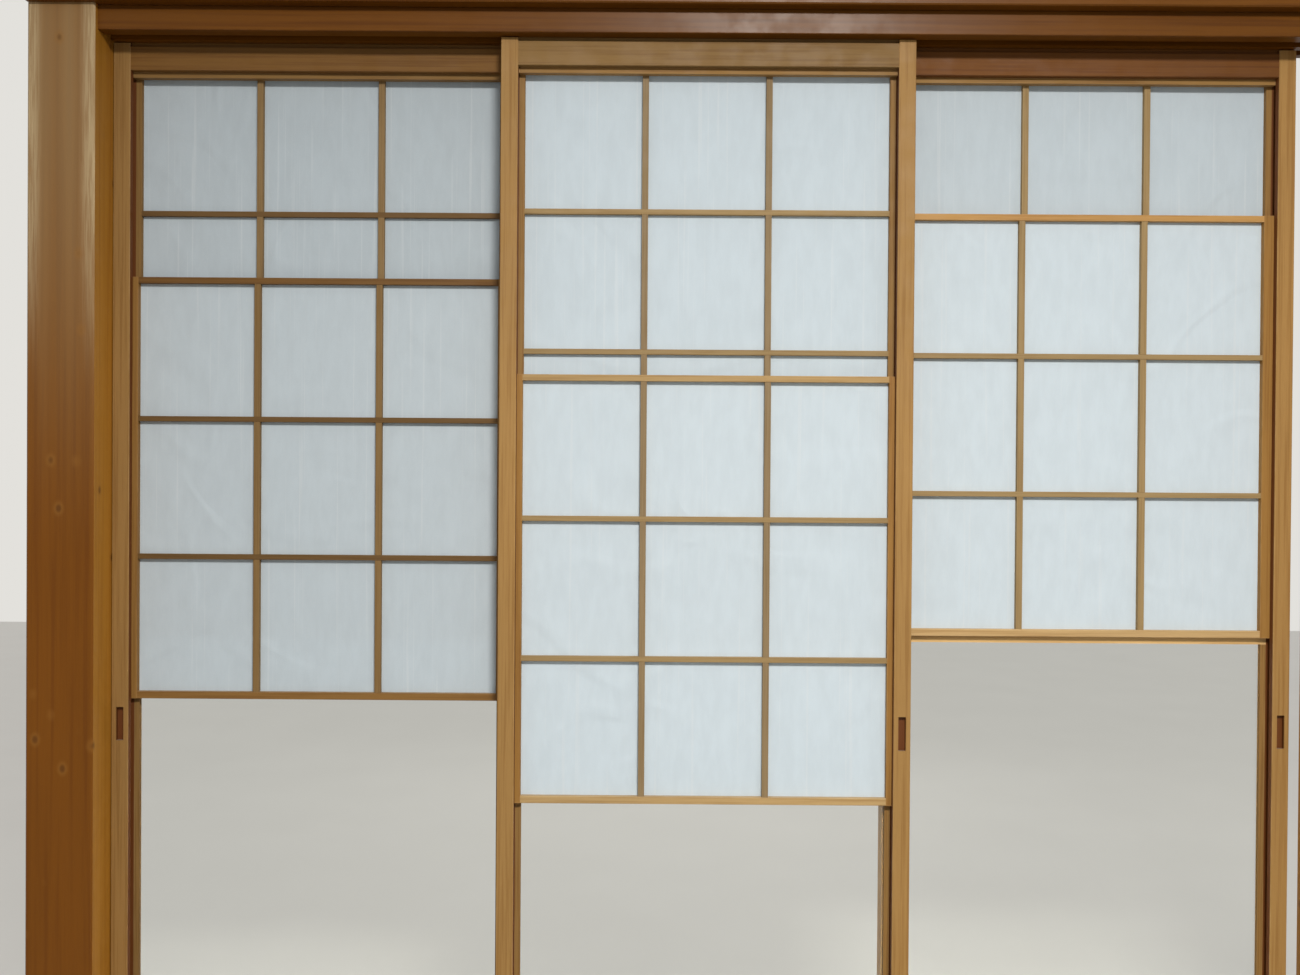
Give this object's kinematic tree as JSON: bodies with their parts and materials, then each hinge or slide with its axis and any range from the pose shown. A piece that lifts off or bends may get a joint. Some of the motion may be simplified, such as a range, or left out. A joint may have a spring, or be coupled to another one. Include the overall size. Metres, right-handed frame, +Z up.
{
  "type": "shoji sliding panel set",
  "caption": "Papered lattice panels with clear glass below and a small up-and-down sash in each, sliding side by side in a grooved wooden frame.",
  "frame": {"origin": "underside of the sill, midway between the posts and on the line through their centres", "axes": "+Z up, +X to the right as seen from the room, so the room is on the -Y side"},
  "size_m": [2.151, 0.118, 1.925],
  "materials": {
    "frame_wood": "satin",
    "panel_wood": "satin",
    "lattice_wood": "matte",
    "paper": "matte",
    "glass": "clear",
    "spring_steel": "satin"
  },
  "bodies": {
    "frame": {"post_left": "frame_wood", "post_right": "frame_wood", "head_track": "frame_wood", "sill_track": "frame_wood", "head_trim": "frame_wood"},
    "left_panel": {"left_stile_left": "panel_wood", "left_stile_right": "panel_wood", "left_top_rail": "panel_wood", "left_waist_rail": "lattice_wood", "left_bottom_rail": "panel_wood", "left_lattice_trim": "lattice_wood", "left_lattice_uprights": "lattice_wood", "left_lattice_crosses": "lattice_wood", "left_paper": "paper", "left_glass": "glass", "left_glass_beads": "lattice_wood"},
    "left_sash": {"left_sash_stile_left": "lattice_wood", "left_sash_stile_right": "lattice_wood", "left_sash_top_rail": "lattice_wood", "left_sash_bottom_rail": "lattice_wood", "left_sash_lattice": "lattice_wood", "left_sash_paper": "paper", "left_sash_springs": "spring_steel"},
    "middle_panel": {"middle_stile_left": "panel_wood", "middle_stile_right": "panel_wood", "middle_top_rail": "panel_wood", "middle_waist_rail": "lattice_wood", "middle_bottom_rail": "panel_wood", "middle_lattice_trim": "lattice_wood", "middle_lattice_uprights": "lattice_wood", "middle_lattice_crosses": "lattice_wood", "middle_paper": "paper", "middle_glass": "glass", "middle_glass_beads": "lattice_wood"},
    "middle_sash": {"middle_sash_stile_left": "lattice_wood", "middle_sash_stile_right": "lattice_wood", "middle_sash_top_rail": "lattice_wood", "middle_sash_bottom_rail": "lattice_wood", "middle_sash_lattice": "lattice_wood", "middle_sash_paper": "paper", "middle_sash_springs": "spring_steel"},
    "right_panel": {"right_stile_left": "panel_wood", "right_stile_right": "panel_wood", "right_top_rail": "panel_wood", "right_waist_rail": "lattice_wood", "right_bottom_rail": "panel_wood", "right_lattice_trim": "lattice_wood", "right_lattice_uprights": "lattice_wood", "right_lattice_crosses": "lattice_wood", "right_paper": "paper", "right_glass": "glass", "right_glass_beads": "lattice_wood"},
    "right_sash": {"right_sash_stile_left": "lattice_wood", "right_sash_stile_right": "lattice_wood", "right_sash_top_rail": "lattice_wood", "right_sash_bottom_rail": "lattice_wood", "right_sash_lattice": "lattice_wood", "right_sash_paper": "paper", "right_sash_springs": "spring_steel"}
  },
  "joints": [
    {"name": "left_panel_slide", "type": "slide", "parent": "frame", "child": "left_panel", "axis": [1, 0, 0], "range_m": [-0.001, 0.591]},
    {"name": "middle_panel_slide", "type": "slide", "parent": "frame", "child": "middle_panel", "axis": [1, 0, 0], "range_m": [-0.6295, 0.6555]},
    {"name": "right_panel_slide", "type": "slide", "parent": "frame", "child": "right_panel", "axis": [1, 0, 0], "range_m": [-0.591, 0.037]},
    {"name": "left_sash_slide", "type": "slide", "parent": "left_panel", "child": "left_sash", "axis": [0, 0, 1], "range_m": [-0.562, 0.3215]},
    {"name": "middle_sash_slide", "type": "slide", "parent": "middle_panel", "child": "middle_sash", "axis": [0, 0, 1], "range_m": [-0.4055, 0.478]},
    {"name": "right_sash_slide", "type": "slide", "parent": "right_panel", "child": "right_sash", "axis": [0, 0, 1], "range_m": [-0.673, 0.2105]}
  ]
}
